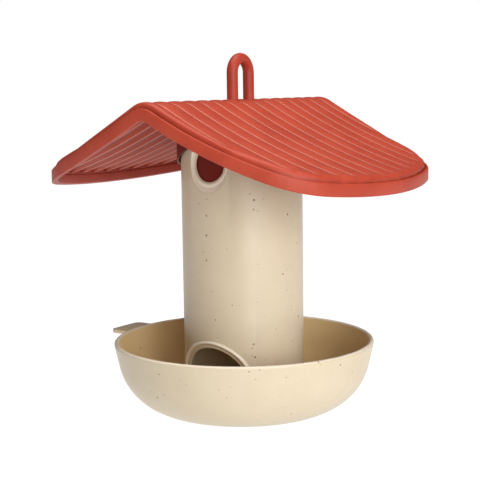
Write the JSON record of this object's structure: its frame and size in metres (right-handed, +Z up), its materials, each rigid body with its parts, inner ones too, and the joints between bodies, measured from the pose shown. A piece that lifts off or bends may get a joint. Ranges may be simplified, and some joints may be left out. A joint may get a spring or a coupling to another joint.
{
  "type": "silo bird feeder",
  "caption": "Silo bird feeder: a seed tube with feeding ports stands in a round bowl under a ribbed, flared roof with a hanging loop.",
  "frame": {"origin": "centre of the bowl's flat foot, on the surface it stands on", "axes": "+Z up along the seed tube, Y along the roof's ridge with the ports facing -Y and +Y, and the bowl's grip tab on the -X side"},
  "size_m": [0.237, 0.219, 0.2504],
  "materials": {
    "beige_plastic": "matte beige with fine dark fibre specks",
    "terracotta_plastic": "matte terracotta with a fine grain",
    "screw_steel": "plain zinc-plated steel"
  },
  "bodies": {
    "bowl": {"bowl": "beige_plastic"},
    "tube": {"seed_tube": "beige_plastic"},
    "roof": {"roof_canopy": "terracotta_plastic", "roof_plug": "terracotta_plastic", "hanging_loop": "terracotta_plastic", "loop_screws": "screw_steel"}
  },
  "joints": [
    {"name": "tube_turn", "type": "hinge", "parent": "bowl", "child": "tube", "pos_m": [0, 0, 0], "axis": [0, 0, 1], "range_deg": [0, 25]},
    {"name": "roof_lift", "type": "slide", "parent": "tube", "child": "roof", "axis": [0, 0, 1], "range_m": [0, 0.06]}
  ]
}
